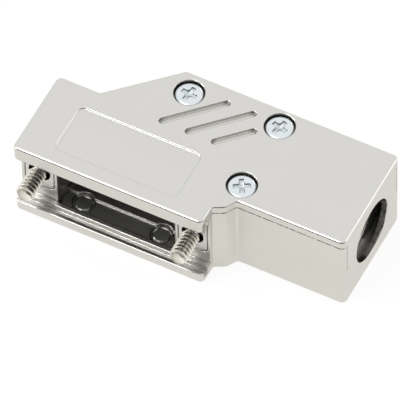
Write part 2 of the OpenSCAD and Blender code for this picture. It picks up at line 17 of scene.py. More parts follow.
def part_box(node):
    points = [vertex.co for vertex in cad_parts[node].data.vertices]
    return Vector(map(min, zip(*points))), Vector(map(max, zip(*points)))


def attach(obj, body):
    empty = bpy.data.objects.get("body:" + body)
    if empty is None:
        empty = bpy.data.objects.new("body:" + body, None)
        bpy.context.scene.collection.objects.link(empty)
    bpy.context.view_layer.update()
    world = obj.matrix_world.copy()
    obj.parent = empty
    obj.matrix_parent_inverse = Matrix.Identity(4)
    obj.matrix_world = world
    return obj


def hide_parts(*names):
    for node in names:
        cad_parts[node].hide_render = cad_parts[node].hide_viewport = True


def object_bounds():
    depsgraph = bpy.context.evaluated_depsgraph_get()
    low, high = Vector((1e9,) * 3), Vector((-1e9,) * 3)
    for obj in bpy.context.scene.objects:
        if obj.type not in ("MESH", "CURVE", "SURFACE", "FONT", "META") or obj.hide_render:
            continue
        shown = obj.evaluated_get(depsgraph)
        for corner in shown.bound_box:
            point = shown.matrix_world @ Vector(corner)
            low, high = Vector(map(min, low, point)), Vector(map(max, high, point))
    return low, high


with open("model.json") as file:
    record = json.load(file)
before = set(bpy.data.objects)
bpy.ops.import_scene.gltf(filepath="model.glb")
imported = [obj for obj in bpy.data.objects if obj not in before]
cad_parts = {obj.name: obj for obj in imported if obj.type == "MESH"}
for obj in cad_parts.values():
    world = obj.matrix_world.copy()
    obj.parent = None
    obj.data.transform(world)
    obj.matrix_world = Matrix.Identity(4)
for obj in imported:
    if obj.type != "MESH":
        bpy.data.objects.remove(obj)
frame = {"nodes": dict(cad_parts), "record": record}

bl_info = {
    "name": "D-sub hood looks",
    "version": (1, 0, 0),
    "blender": (4, 5, 0),
    "location": "View3D > Sidebar > Hood",
    "description": "Finishes, screws and stage of a metal D-sub connector hood",
    "category": "Object",
}

CAD_LOW, CAD_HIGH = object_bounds()
MM = 0.001


def width_of(node):
    """Width in x of a CAD node, which is the head's diameter for every screw here."""
    low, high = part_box(node)
    return high.x - low.x


# ---- Settings --------------------------------------------------------------------------------------


def size(name, description, default):
    """A length in metres."""
    return FloatProperty(
        name=name, description=description, default=default, min=0, precision=5, unit="LENGTH"
    )


def share(name, description, default):
    """A share from 0 to 1."""
    return FloatProperty(name=name, description=description, default=default, min=0, max=1, subtype="FACTOR")


def angle(name, description, degrees):
    """An angle, written in degrees."""
    return FloatProperty(name=name, description=description, default=math.radians(degrees), subtype="ANGLE")


def colour(name, description, default):
    """A linear colour."""
    return FloatVectorProperty(
        name=name, description=description, default=default, size=3, min=0, max=1, subtype="COLOR"
    )


class HoodJackscrews(PropertyGroup):
    """Sizes of the two jackscrews"""

    thread_d: size("Thread diameter", "Diameter over the thread's crests", 2.84 * MM)
    thread_pitch: size("Thread pitch", "Distance between threads, forty to the inch", 25.4 / 40 * MM)
    thread_l: size("Thread length", "Length of thread from the tip", 4.8 * MM)
    chamfer: size("Chamfer", "Chamfer on the tip and on the head", 0.35 * MM)
    shank_d: size("Shank diameter", "Diameter of the relieved shank", 2.4 * MM)
    groove_d: size("Groove diameter", "Diameter of the groove that the clip snaps into", 1.5 * MM)
    groove_room: size("Groove room", "Room in the groove on each side of the clip", 0.05 * MM)
    head_h: size("Head height", "Height of the slotted head", 2.6 * MM)
    slot_w: size("Slot width", "Width of the driver slot", 0.8 * MM)
    slot_h: size("Slot depth", "Depth of the driver slot", 1.2 * MM)


class HoodScrews(PropertyGroup):
    """Sizes of the cover screws and the clamp screws"""

    cover_head_h: size("Cover head", "Height of a cover screw's head", 0.85 * MM)
    cover_thread_d: size("Cover thread", "Diameter of a cover screw's thread", 1.9 * MM)
    clamp_head_h: size("Clamp head", "Height of a clamp screw's head", 1.2 * MM)
    clamp_thread_d: size("Clamp thread", "Diameter of a clamp screw's thread", 1.7 * MM)
    thread_pitch: size("Thread pitch", "Distance from one thread to the next", 0.5 * MM)
    crown: size("Crown", "How far the top of a head falls towards its rim", 0.06 * MM)
    rim_share: share("Rim rounding", "Radius of the rounded rim, as a share of the head's height", 0.55)
    cross_share: share("Cross width", "Width of the cross recess, as a share of the head's diameter", 0.58)
    arm_share: share("Arm width", "Width of the recess's arms, as a share of the recess", 0.27)
    middle_share: share("Middle width", "Width of the recess's round middle, as a share of the recess", 0.5)
    depth_share: share("Recess depth", "Depth of the recess, as a share of the head's height", 0.7)
    tip_chamfer: size("Tip chamfer", "Chamfer on a screw's tip", 0.3 * MM)
    rear_left_turn: angle("Rear left turn", "Turn of the rear left cover screw's cross", 82)
    rear_right_turn: angle("Rear right turn", "Turn of the rear right cover screw's cross", 75)
    front_turn: angle("Front turn", "Turn of the front cover screw's cross", 30)
    clamp_turn: angle("Clamp turn", "Turn of the clamp screws' crosses", 0)


class HoodFinish(PropertyGroup):
    """Colours and surface of the metals"""

    nickel: colour("Nickel", "Satin nickel plating on the castings", (0.68, 0.672, 0.645))
    # Painted shade in creases; also the colour of the dark joint line and of the faint patches.
    nickel_shade_joint_and_patches: colour("Dull nickel", "The same plating in creases and joints", (0.13, 0.12, 0.105))
    # Painted shade deep inside the hood, in the bay behind the mouth and in the bore of the cable entry.
    nickel_hollow_shade: colour("Deep nickel", "Bare, dark casting far inside the hood", (0.032, 0.024, 0.016))
    nickel_rough: share("Nickel roughness", "Roughness of the castings", 0.36)
    zinc: colour("Zinc", "Bright zinc plating of the cover and clamp screws", (0.76, 0.81, 0.84))
    # Painted shade in the cross recesses and thread roots; also the colour of the faint patches.
    zinc_shade_and_patches: colour("Dull zinc", "Zinc plating in the recesses", (0.17, 0.20, 0.24))
    zinc_rough: share("Zinc roughness", "Roughness of the cover and clamp screws", 0.27)
    steel: colour("Plated steel", "Bright nickel plating of the jackscrews", (0.86, 0.84, 0.79))
    # Painted shade in the roots of the threads; also the colour of the faint patches.
    steel_shade_and_patches: colour("Dull steel", "Plating in the roots of the threads", (0.46, 0.43, 0.38))
    steel_rough: share("Plated steel roughness", "Roughness of the jackscrews", 0.22)
    spring: colour("Spring steel", "Bare spring steel of the clips", (0.16, 0.16, 0.165))
    spring_dull: colour("Dull spring steel", "Spring steel in its patches", (0.05, 0.05, 0.052))
    spring_rough: share("Spring steel roughness", "Roughness of the clips", 0.35)
    grain: size("Grain", "Size of the casting's fine grain", 0.16 * MM)
    grain_h: size("Grain height", "Height of the casting's fine grain", 0.007 * MM)
    edge_r: size("Edge rounding", "Radius of the small rounding on every cast edge", 0.28 * MM)
    # Reaches of the occlusion that places the painted shade in creases and in deep cavities.
    crease: size("Crease", "How far apart the walls of a crease may stand", 1.2 * MM)
    deep: size("Deep", "How far apart the walls of a deep hollow may stand", 14 * MM)
    seam_w: size("Joint width", "Width of the fine dark line where the two castings meet", 0.24 * MM)
    entry_l: size("Entry length", "How far light reaches in at the cable entry", 9 * MM)
    mouth_l: size("Mouth length", "How far light reaches in at the mouth", 4 * MM)


class HoodStage(PropertyGroup):
    """Floor, light and camera"""

    floor: colour("Floor", "Colour of the floor", (0.98, 0.96, 0.93))
    floor_in_metal: colour("Floor in metal", "Colour of the floor as metal shows it", (1.0, 0.98, 0.94))
    floor_glow: share("Floor glow", "Share of plain white in the floor as the camera sees it", 0.9)
    ambient: FloatProperty(
        name="Ambient", description="Strength of the even light from all round", default=0.9, min=0
    )
    horizon: share("Horizon", "Brightness that metal shows of the room's far walls", 0.06)
    azimuth: angle("Azimuth", "Camera's turn round the hood", 28.35)
    elevation: angle("Elevation", "Camera's height above the floor, as an angle", 53.67)
    roll: angle("Roll", "Camera's tilt to one side", -1.42)
    distance: size("Distance", "From the camera to the point that it turns about", 1.274)
    lens: FloatProperty(name="Lens", description="Focal length in millimetres", default=790.65, min=1)


# ---- Surfaces --------------------------------------------------------------------------------------

THREAD_DEPTH = 0.6134  # Depth of a 60 degree thread, as a share of its pitch


def grid_faces(rows, columns):
    """Triangles of a grid of rows rings of columns points each, closed round each ring."""
    here = np.arange(rows * columns).reshape(rows, columns)
    a, b = here[:-1], here[1:]
    c, d = np.roll(b, -1, axis=1), np.roll(a, -1, axis=1)
    return np.concatenate([np.stack([a, d, c], -1).reshape(-1, 3), np.stack([a, c, b], -1).reshape(-1, 3)])


def weld(points, faces, values):
    """The same surface with points that lie together made one, and triangles that have no area left out."""
    tolerance = 1e-8
    keys = np.round(points / tolerance).astype(np.int64)
    _, first, index = np.unique(keys, axis=0, return_index=True, return_inverse=True)
    faces = index.reshape(-1)[faces]
    real = (faces[:, 0] != faces[:, 1]) & (faces[:, 1] != faces[:, 2]) & (faces[:, 2] != faces[:, 0])
    return points[first], faces[real], values[first]


def joined(*surfaces):
    """Several surfaces (points, faces, values) as one."""
    starts = np.cumsum([0] + [len(s[0]) for s in surfaces])
    return (
        np.concatenate([s[0] for s in surfaces]),
        np.concatenate([s[1] + start for s, start in zip(surfaces, starts)]),
        np.concatenate([s[2] for s in surfaces]),
    )


def thread_ridge(along, angle, pitch):
    """Height, from 0 in the root to 1 on the crest, of a right-hand thread: a ridge that moves one pitch
    along for each turn, with a crest an eighth of the pitch wide, a root a quarter wide, and straight
    flanks."""
    crest, root = 1 / 8, 1 / 4
    flank = (1 - crest - root) / 2
    off_crest = np.abs((along / pitch - angle / (2 * np.pi)) % 1 - 0.5)
    return np.clip((crest / 2 + flank - off_crest) / flank, 0, 1)


def threaded_rod(low, high, crest_r, pitch, runout_r, chamfer, rows_a_pitch, columns):
    """Threaded rod along the third axis, from its tip at low to high. At a height t and an angle a, the
    radius is the root's plus the ridge's, held inside a 45 degree cone at the tip, and it runs out into a
    plain radius over the last turn. The values are painted shade, 0 on the crest and 1 in the root."""
    depth = THREAD_DEPTH * pitch
    steps = int(math.ceil((high - low) / pitch * rows_a_pitch)) + 1
    t = np.linspace(low, high, steps)[:, None]
    a = np.arange(columns)[None, :] * 2 * np.pi / columns
    fade = np.clip((high - t) / pitch, 0, 1)
    ridge = thread_ridge(t - low, a, pitch)
    root_r = crest_r - depth
    r = fade * (root_r + depth * ridge) + (1 - fade) * runout_r
    r = np.minimum(r, crest_r - chamfer + (t - low))
    values = fade * (1 - ridge) + 0 * a
    return t + 0 * a, r, a + 0 * t, values


def revolved(t, r, a):
    """Points at heights t, radii r and angles a round the third axis."""
    return np.stack(np.broadcast_arrays(r * np.cos(a), r * np.sin(a), t), -1)


def slotted_head(seat, top, radius, chamfer, slot_w, slot_h, columns):
    """Cylindrical head with a chamfered rim and a driver slot. Across the slot, points stand at radius
    times the sine of evenly spaced angles, with two at each edge of the slot: the outer one follows the
    head's top, and the inner one the slot's floor. Opposite rim points are joined straight across, which
    closes the top."""
    half = columns // 2
    too_near = 0.04 * radius
    sweep = np.sin(np.linspace(-np.pi / 2, np.pi / 2, half + 1))
    across = radius * sweep
    clear = np.abs(np.abs(across) - slot_w / 2) > too_near
    inside = np.concatenate([np.abs(across[clear]) < slot_w / 2, [False, True, True, False]])
    across = np.concatenate([across[clear], [-slot_w / 2, -slot_w / 2, slot_w / 2, slot_w / 2]])
    order = np.lexsort((np.where(across < 0, inside, ~inside), np.round(across, 9)))
    across, inside = across[order], inside[order]
    count = len(across)
    loop = np.concatenate([np.arange(count), np.arange(count - 2, 0, -1)])
    side = np.concatenate([np.ones(count), -np.ones(count - 2)])
    s, low_rim = across[loop], inside[loop]
    floor = top - slot_h
    heights = [seat, floor, top - chamfer, top]
    radii = [radius, radius, radius, radius - chamfer]
    t = np.array([np.where(low_rim, min(h, floor), h) for h in heights])
    r = np.array([np.where(low_rim, radius, q) for q in radii])
    s = np.clip(s[None, :], -r, r)
    points = np.stack([side[None, :] * np.sqrt(np.maximum(r * r - s * s, 0)), s + 0 * r, t], -1)
    return points, count


def jackscrew_surface(sizes, tip, clip_low, clip_high, end, radius):
    """A whole jackscrew along the third axis: threaded tip, relieved shank with the clip's groove, bearing,
    and slotted head. Rings of equal point counts are stacked from the tip to the head's rim."""
    rim_points, rows_a_pitch, tip_value = 72, 20, 0.3
    crest_r, shank_r, groove_r = sizes.thread_d / 2, sizes.shank_d / 2, sizes.groove_d / 2
    seat = end - sizes.head_h
    head, count = slotted_head(seat, end, radius, sizes.chamfer, sizes.slot_w, sizes.slot_h, rim_points)
    columns = head.shape[1]
    t, r, a, value = threaded_rod(
        tip, tip + sizes.thread_l, crest_r, sizes.thread_pitch, shank_r, sizes.chamfer, rows_a_pitch, columns
    )
    plain = np.array([
        [clip_low - sizes.groove_room, shank_r],
        [clip_low - sizes.groove_room, groove_r],
        [clip_high + sizes.groove_room, groove_r],
        [clip_high + sizes.groove_room, crest_r],
        [seat, crest_r],
    ])
    turn = a[:1] - np.pi / 2
    stem = revolved(plain[:, :1], plain[:, 1:], turn)
    pole = np.repeat([[[0.0, 0.0, tip]]], columns, axis=1)
    points = np.concatenate([pole, revolved(t, r, turn), stem, head])
    rows = len(points)
    # Values of painted shade: the thread's roots darken, the tip's centre a little, and the rest stays
    # bright.
    values = np.concatenate([
        np.full((1, columns), tip_value), value, np.zeros((len(stem) + len(head), columns))
    ])
    rim = (rows - 1) * columns + np.arange(columns)
    far = np.concatenate([rim[:1], rim[:count - 1:-1], rim[count - 1:count]])
    near = rim[:count]
    top = np.concatenate([
        np.stack([near[:-1], near[1:], far[1:]], -1), np.stack([near[:-1], far[1:], far[:-1]], -1)
    ])
    faces = np.concatenate([grid_faces(rows, columns), top])
    return weld(points.reshape(-1, 3), faces, values.reshape(-1))


def smooth_step(x):
    """0 below 0, 1 above 1, and a smooth rise between."""
    x = np.clip(x, 0, 1)
    return x * x * (3 - 2 * x)


def cross_recess(x, y, width, arm, middle):
    """Cross recess at x, y: its depth from 0 to 1, and how steep it is from 0 to 1. Two arms with steep
    walls cross over a round middle, and a cone deepens them all towards the centre."""
    wall, cone_r, depth_at_ends = 0.05 * width, 0.62 * width, 0.45
    lengthwise = [smooth_step((width / 2 - np.abs(u)) / wall + 0.5) for u in (x, y)]
    crosswise = [smooth_step((arm / 2 - np.abs(u)) / wall + 0.5) for u in (x, y)]
    arms = np.maximum(lengthwise[0] * crosswise[1], lengthwise[1] * crosswise[0])
    out = np.hypot(x, y)
    cut = np.maximum(arms, smooth_step((middle / 2 - out) / wall + 0.5))
    return cut * np.clip(1 - out / cone_r, depth_at_ends, 1), 4 * cut * (1 - cut)


def pan_screw_surface(sizes, seat, tip, head_h, radius, thread_r, turn):
    """Screw along the third axis with its seat at a given height: a threaded rod below it, and a crowned
    head above it. The head's top is a disc of rings, rounded down to the rim by a quarter circle, less the
    depth of the cross recess. The rod's end stands inside the head. The values are painted shade: 0 where
    the metal is bright, and higher in the recess and in the thread's roots."""
    columns, rings, rim_rings = 144, 52, 6
    rod_columns, rows_a_pitch = 36, 12
    floor_shade, wall_shade = 0.35, 0.9
    rod_end = seat + 0.3 * head_h
    round_r = sizes.rim_share * head_h
    flat_r = radius - round_r
    a = np.arange(columns)[None, :] * 2 * np.pi / columns
    out = np.linspace(0, flat_r, rings)[:, None]
    width = sizes.cross_share * 2 * radius
    x, y = out * np.cos(a - turn), out * np.sin(a - turn)
    recess, steepness = cross_recess(x, y, width, sizes.arm_share * width, sizes.middle_share * width)
    sunk = sizes.depth_share * head_h * recess
    disc = revolved(seat + head_h - sizes.crown * (out / flat_r) ** 2 - sunk, out, a)
    bend = np.linspace(0, np.pi / 2, rim_rings + 1)[1:, None]
    shoulder = head_h - sizes.crown
    rim = revolved(seat + shoulder - round_r * (1 - np.cos(bend)), flat_r + round_r * np.sin(bend), a)
    under = revolved(np.full((1, 1), seat), np.full((1, 1), radius), a)
    middle = revolved(np.full((1, 1), seat), np.zeros((1, 1)), a)
    head = np.concatenate([disc, rim, under, middle])[::-1]
    shade = np.maximum(floor_shade * recess, wall_shade * steepness)
    shade = np.concatenate([shade, np.zeros((len(rim) + 2, columns))])[::-1]
    head = weld(head.reshape(-1, 3), grid_faces(len(head), columns), shade.reshape(-1))
    t, r, around, value = threaded_rod(
        tip, rod_end, thread_r, sizes.thread_pitch, thread_r, sizes.tip_chamfer, rows_a_pitch, rod_columns
    )
    ends = [np.repeat([[[0.0, 0.0, z]]], rod_columns, axis=1) for z in (tip, rod_end)]
    rod = np.concatenate([ends[0], revolved(t, r, around), ends[1]])
    value = np.concatenate([np.zeros((1, rod_columns)), value, np.zeros((1, rod_columns))])
    return joined(head, weld(rod.reshape(-1, 3), grid_faces(len(rod), rod_columns), value.reshape(-1)))


# ---- Pieces ----------------------------------------------------------------------------------------

SHARP_FROM = math.radians(35)  # Edges that bend more than this stay sharp


def make_piece(name, surface, material, body, stands_for):
    """Mesh object from a surface (points, triangles, painted shade values), finished and riding on its body.
    """
    points, faces, values = surface
    mesh = bpy.data.meshes.new(name)
    mesh.vertices.add(len(points))
    mesh.vertices.foreach_set("co", points.astype(np.float32).ravel())
    mesh.loops.add(faces.size)
    mesh.loops.foreach_set("vertex_index", faces.astype(np.int32).ravel())
    mesh.polygons.add(len(faces))
    mesh.polygons.foreach_set("loop_start", np.arange(0, faces.size, 3, dtype=np.int32))
    mesh.update(calc_edges=True)
    mesh.validate()
    # The depth attribute holds painted shade in recesses and thread roots.
    depth = mesh.attributes.new("depth", "FLOAT", "POINT")
    depth.data.foreach_set("value", values.astype(np.float32))
    mesh.shade_smooth()
    mesh.set_sharp_from_angle(angle=SHARP_FROM)
    piece = bpy.data.objects.new(name, mesh)
    bpy.context.scene.collection.objects.link(piece)
    mesh.materials.append(material)
    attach(piece, body)
    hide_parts(stands_for)


def body_of_node(node):
    """Name of the body that holds a CAD node."""
    bodies = frame["record"]["behaviour"]["bodies"]
    return next(name for name, members in bodies.items() if node in members)


# ---- Finishes --------------------------------------------------------------------------------------

BEVEL_SAMPLES, OCCLUSION_SAMPLES = 8, 12
# Ranges of the masks, each from where its smooth step starts to where it ends
FLAT_FROM = (0.93, 0.995)  # Upright share of the rounded normal, on faces that lie flat
WALL_UNTIL = (0.08, 0.3)  # The same share, on walls
# The crease range places painted shade in creases, and the hollow range painted shade in wide cavities.
CREASE_SHADE_FROM = (0.39, 0.48)  # Share of the outside that close walls hide
HOLLOW_SHADE_FROM = (0.54, 0.72)  # Share that distant walls hide, less part of what close walls hide


def new_group(name, inputs, outputs):
    """Empty shader node group, with its input and output nodes. Sockets are (name, type, default)."""
    group = bpy.data.node_groups.new(name, "ShaderNodeTree")
    for socket, kind, default in inputs:
        made = group.interface.new_socket(name=socket, in_out="INPUT", socket_type=kind)
        if default is not None:
            made.default_value = default
    for socket, kind in outputs:
        group.interface.new_socket(name=socket, in_out="OUTPUT", socket_type=kind)
    return group, group.nodes.new("NodeGroupInput"), group.nodes.new("NodeGroupOutput")


def math_node(tree, operation, a, b=0.0, clamp=False):
    """Math node whose inputs are sockets or numbers; returns its result."""
    node = tree.nodes.new("ShaderNodeMath")
    node.operation = operation
    node.use_clamp = clamp
    for socket, value in zip(node.inputs, (a, b)):
        if isinstance(value, (int, float)):
            socket.default_value = value
        else:
            tree.links.new(value, socket)
    return node.outputs[0]


def noise_node(tree, vector, scale, detail):
    """Noise whose scale is a socket or a number; returns its value."""
    node = tree.nodes.new("ShaderNodeTexNoise")
    node.inputs["Detail"].default_value = detail
    tree.links.new(vector, node.inputs["Vector"])
    if isinstance(scale, (int, float)):
        node.inputs["Scale"].default_value = scale
    else:
        tree.links.new(scale, node.inputs["Scale"])
    return node.outputs["Fac"]


def cast_grain_group():
    """Fine grain and broad, faint patches of a plated die casting, from noise at three sizes. The coarser
    grain and the patches have scales that are shares of the fine grain's."""
    coarse_scale, coarse_weight, patch_scale = 0.22, 0.9, 0.022
    group, start, end = new_group(
        "Cast grain",
        [("Vector", "NodeSocketVector", None), ("Grain", "NodeSocketFloat", 0.16 * MM)],
        [("Height", "NodeSocketFloat"), ("Patches", "NodeSocketFloat")],
    )
    vector = start.outputs["Vector"]
    scale = math_node(group, "DIVIDE", 1.0, start.outputs["Grain"])
    fine = noise_node(group, vector, scale, 3.0)
    coarse = noise_node(group, vector, math_node(group, "MULTIPLY", scale, coarse_scale), 2.0)
    patches = noise_node(group, vector, math_node(group, "MULTIPLY", scale, patch_scale), 2.0)
    height = math_node(group, "ADD", fine, math_node(group, "MULTIPLY", coarse, coarse_weight))
    group.links.new(height, end.inputs["Height"])
    group.links.new(patches, end.inputs["Patches"])
    return group


def occlusion(tree, distance, normal=None):
    """Share of the outside that surfaces nearer than a distance hide, seen along a normal."""
    node = tree.nodes.new("ShaderNodeAmbientOcclusion")
    node.samples = OCCLUSION_SAMPLES
    tree.links.new(distance, node.inputs["Distance"])
    if normal is not None:
        tree.links.new(normal, node.inputs["Normal"])
    return math_node(tree, "SUBTRACT", 1.0, node.outputs["AO"])


def smooth_range(tree, value, low, high, to_low=0.0, to_high=1.0):
    """Smooth step of a value, from to_low at low to to_high at high."""
    node = tree.nodes.new("ShaderNodeMapRange")
    node.interpolation_type = "SMOOTHSTEP"
    tree.links.new(value, node.inputs["Value"])
    for name, number in (("From Min", low), ("From Max", high), ("To Min", to_low), ("To Max", to_high)):
        node.inputs[name].default_value = number
    return node.outputs["Result"]


def worn_edge_and_shade_group():
    """Rounded normal of every edge, a mask that is 1 where an edge turns, and two masks of painted shade from
    occlusion, 1 in creases and in wide cavities. The crease and cavity masks are looked for along a normal
    tilted upwards, so that the floor near a wall is not taken for one."""
    upward_tilt, close_weight = 0.6, 0.5
    group, start, end = new_group(
        "Worn edges and painted shade",
        [
            ("Radius", "NodeSocketFloat", 0.28 * MM), ("Crease", "NodeSocketFloat", 1.2 * MM),
            ("Deep", "NodeSocketFloat", 14 * MM),
        ],
        [
            ("Normal", "NodeSocketVector"), ("Edge", "NodeSocketFloat"),
            ("Crease shade", "NodeSocketFloat"), ("Hollow shade", "NodeSocketFloat"),
        ],
    )
    bevel = group.nodes.new("ShaderNodeBevel")
    bevel.samples = BEVEL_SAMPLES
    group.links.new(start.outputs["Radius"], bevel.inputs["Radius"])
    slope = group.nodes.new("ShaderNodeSeparateXYZ")
    group.links.new(bevel.outputs["Normal"], slope.inputs[0])
    upright = math_node(group, "ABSOLUTE", slope.outputs["Z"])
    off_flat = smooth_range(group, upright, *FLAT_FROM, 1.0, 0.0)
    edge = math_node(group, "MULTIPLY", off_flat, smooth_range(group, upright, *WALL_UNTIL))
    upwards = group.nodes.new("ShaderNodeVectorMath")
    upwards.inputs[1].default_value = (0, 0, upward_tilt)
    group.links.new(bevel.outputs["Normal"], upwards.inputs[0])
    unit = group.nodes.new("ShaderNodeVectorMath")
    unit.operation = "NORMALIZE"
    group.links.new(upwards.outputs["Vector"], unit.inputs[0])
    # Occlusion along the tilted normal places the painted shade: close walls for creases, distant walls for
    # cavities.
    near = occlusion(group, start.outputs["Crease"], unit.outputs["Vector"])
    far = occlusion(group, start.outputs["Deep"], unit.outputs["Vector"])
    wide = math_node(group, "SUBTRACT", far, math_node(group, "MULTIPLY", near, close_weight))
    group.links.new(bevel.outputs["Normal"], end.inputs["Normal"])
    group.links.new(edge, end.inputs["Edge"])
    group.links.new(smooth_range(group, near, *CREASE_SHADE_FROM), end.inputs["Crease shade"])
    group.links.new(smooth_range(group, wide, *HOLLOW_SHADE_FROM), end.inputs["Hollow shade"])
    return group


def seam_group():
    """Mask of the thin, broken dark line where two castings meet: 1 at a height, behind the front lips, on
    faces that look forwards. The line fades out between two shares of its width."""
    line_edge, behind_lips = (0.35, 0.65), (0.8 * MM, 1.6 * MM)
    forward_range, broken_range, faintest = (0.1, 0.9), (0.36, 0.58), 0.15
    noise_scale = 1 / (0.5 * MM)
    group, start, end = new_group(
        "Casting joint",
        [
            ("Vector", "NodeSocketVector", None), ("Level", "NodeSocketFloat", 0.0),
            ("Width", "NodeSocketFloat", 0.24 * MM),
        ],
        [("Seam", "NodeSocketFloat")],
    )
    place = group.nodes.new("ShaderNodeSeparateXYZ")
    group.links.new(start.outputs["Vector"], place.inputs[0])
    off = math_node(group, "SUBTRACT", place.outputs["Z"], start.outputs["Level"])
    share_off = math_node(group, "DIVIDE", math_node(group, "ABSOLUTE", off), start.outputs["Width"])
    line = smooth_range(group, share_off, *line_edge, 1.0, 0.0)
    line = math_node(group, "MULTIPLY", line, smooth_range(group, place.outputs["Y"], *behind_lips))
    facing = group.nodes.new("ShaderNodeNewGeometry")
    toward = group.nodes.new("ShaderNodeSeparateXYZ")
    group.links.new(facing.outputs["Normal"], toward.inputs[0])
    ahead = math_node(group, "MULTIPLY", toward.outputs["Y"], -1.0)
    forwards = smooth_range(group, ahead, *forward_range, faintest, 1.0)
    noise = noise_node(group, start.outputs["Vector"], noise_scale, 2)
    broken = smooth_range(group, noise, *broken_range, faintest, 1.0)
    strength = math_node(group, "MULTIPLY", forwards, broken)
    group.links.new(math_node(group, "MULTIPLY", line, strength), end.inputs["Seam"])
    return group


GROUP_BUILDERS = {
    "Cast grain": cast_grain_group, "Worn edges and painted shade": worn_edge_and_shade_group, "Casting joint": seam_group,
}


def place_group(tree, group, **values):
    """Group node in a material, with some of its inputs set. The group is built at its first use."""
    node = tree.nodes.new("ShaderNodeGroup")
    node.node_tree = bpy.data.node_groups.get(group) or GROUP_BUILDERS[group]()
    for name, value in values.items():
        node.inputs[name].default_value = value
    return node


def mixed_colour(tree, factor, a, b):
    """Mix of two linear colours or sockets; returns the result."""
    node = tree.nodes.new("ShaderNodeMix")
    node.data_type = "RGBA"
    tree.links.new(factor, node.inputs["Factor"])
    for socket, value in zip((node.inputs[6], node.inputs[7]), (a, b)):
        if isinstance(value, bpy.types.NodeSocket):
            tree.links.new(value, socket)
        else:
            socket.default_value = (*value, 1.0)
    return node.outputs[2]


def start_metal(name):
    """New metal: its node tree, its shader, and the place on the object in metres."""
    material = bpy.data.materials.new(name)
    material.use_nodes = True
    tree = material.node_tree
    shader = tree.nodes["Principled BSDF"]
    shader.inputs["Metallic"].default_value = 1.0
    return material, tree, shader, tree.nodes.new("ShaderNodeTexCoord").outputs["Object"]


def grainy_bump(tree, shader, height, depth, normal=None):
    """Fine grain of a depth as the shader's normal, on top of a normal."""
    bump = tree.nodes.new("ShaderNodeBump")
    bump.inputs["Distance"].default_value = depth
    tree.links.new(height, bump.inputs["Height"])
    if normal is not None:
        tree.links.new(normal, bump.inputs["Normal"])
    tree.links.new(bump.outputs["Normal"], shader.inputs["Normal"])


def varied(tree, value, amount, middle):
    """Number round a middle that goes up and down with a value from 0 to 1, by an amount in all."""
    node = math_node(tree, "MULTIPLY_ADD", value, amount)
    node.node.inputs[2].default_value = middle - amount / 2
    return node


def cast_material(name, bright, shade_and_patches, deep, roughness, finish):
    """Plated casting with painted shade: darker in creases and inside wide cavities, and dark along the joint
    line; smoother where an edge turns, with a fine grain on the rounded edges. The painted cavity shade stays
    lighter just inside the cable entry and the mouth, where light reaches in."""
    patch_colour, patch_middle, patch_roughness = 0.06, 0.02, 0.10
    edge_polish, hollow_roughness, dark_at_entry = 0.65, 0.35, 0.2
    material, tree, shader, place = start_metal(name)
    grain = place_group(tree, "Cast grain", Grain=finish.grain)
    tree.links.new(place, grain.inputs["Vector"])
    edges = place_group(tree, "Worn edges and painted shade", Radius=finish.edge_r, Crease=finish.crease, Deep=finish.deep)
    seam = place_group(tree, "Casting joint", Level=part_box("base_shell")[1].z, Width=finish.seam_w)
    tree.links.new(place, seam.inputs["Vector"])
    # Painted shade in creases, together with the real dark joint line between the castings.
    crease_shade_and_joint = math_node(tree, "MAXIMUM", edges.outputs["Crease shade"], seam.outputs["Seam"])
    patchy = varied(tree, grain.outputs["Patches"], patch_colour, patch_middle)
    amount = math_node(tree, "ADD", crease_shade_and_joint, patchy, clamp=True)
    colours = mixed_colour(tree, amount, bright, shade_and_patches)
    along = tree.nodes.new("ShaderNodeSeparateXYZ")
    tree.links.new(place, along.inputs[0])
    # The painted shade of the cavities fades out towards the cable entry and the mouth, where light reaches
    # in.
    entry, mouth = CAD_HIGH.x, CAD_LOW.y
    past_entry = smooth_range(tree, along.outputs["X"], entry - finish.entry_l, entry, 1.0, dark_at_entry)
    past_mouth = smooth_range(tree, along.outputs["Y"], mouth + 0.5 * finish.mouth_l, mouth + finish.mouth_l)
    inwards = math_node(tree, "MULTIPLY", past_entry, past_mouth)
    hollow_shade = math_node(tree, "MULTIPLY", edges.outputs["Hollow shade"], inwards)
    tree.links.new(mixed_colour(tree, hollow_shade, colours, deep), shader.inputs["Base Color"])
    rough = varied(tree, grain.outputs["Patches"], patch_roughness, roughness)
    smoother = math_node(tree, "MULTIPLY", edges.outputs["Edge"], -edge_polish * roughness)
    duller = math_node(tree, "MULTIPLY", hollow_shade, hollow_roughness)
    rough = math_node(tree, "ADD", rough, smoother)
    tree.links.new(math_node(tree, "ADD", rough, duller, clamp=True), shader.inputs["Roughness"])
    grainy_bump(tree, shader, grain.outputs["Height"], finish.grain_h, edges.outputs["Normal"])
    return material


def turned_material(name, bright, shade_and_patches, roughness, finish):
    """Plated turned metal, darkened by the piece's own depth attribute, which holds painted shade, and bright
    where a piece has none. Its grain is finer than a casting's."""
    patch_colour, patch_middle, patch_roughness, grain_share = 0.12, 0.03, 0.08, 1 / 4
    material, tree, shader, place = start_metal(name)
    grain = place_group(tree, "Cast grain", Grain=finish.grain)
    tree.links.new(place, grain.inputs["Vector"])
    # Painted shade in recesses and thread roots, read from the depth attribute.
    depth = tree.nodes.new("ShaderNodeAttribute")
    depth.attribute_name = "depth"
    patchy = varied(tree, grain.outputs["Patches"], patch_colour, patch_middle)
    amount = math_node(tree, "ADD", depth.outputs["Fac"], patchy, clamp=True)
    tree.links.new(mixed_colour(tree, amount, bright, shade_and_patches), shader.inputs["Base Color"])
    rough = varied(tree, grain.outputs["Patches"], patch_roughness, roughness)
    tree.links.new(rough, shader.inputs["Roughness"])
    grainy_bump(tree, shader, grain.outputs["Height"], finish.grain_h * grain_share)
    return material


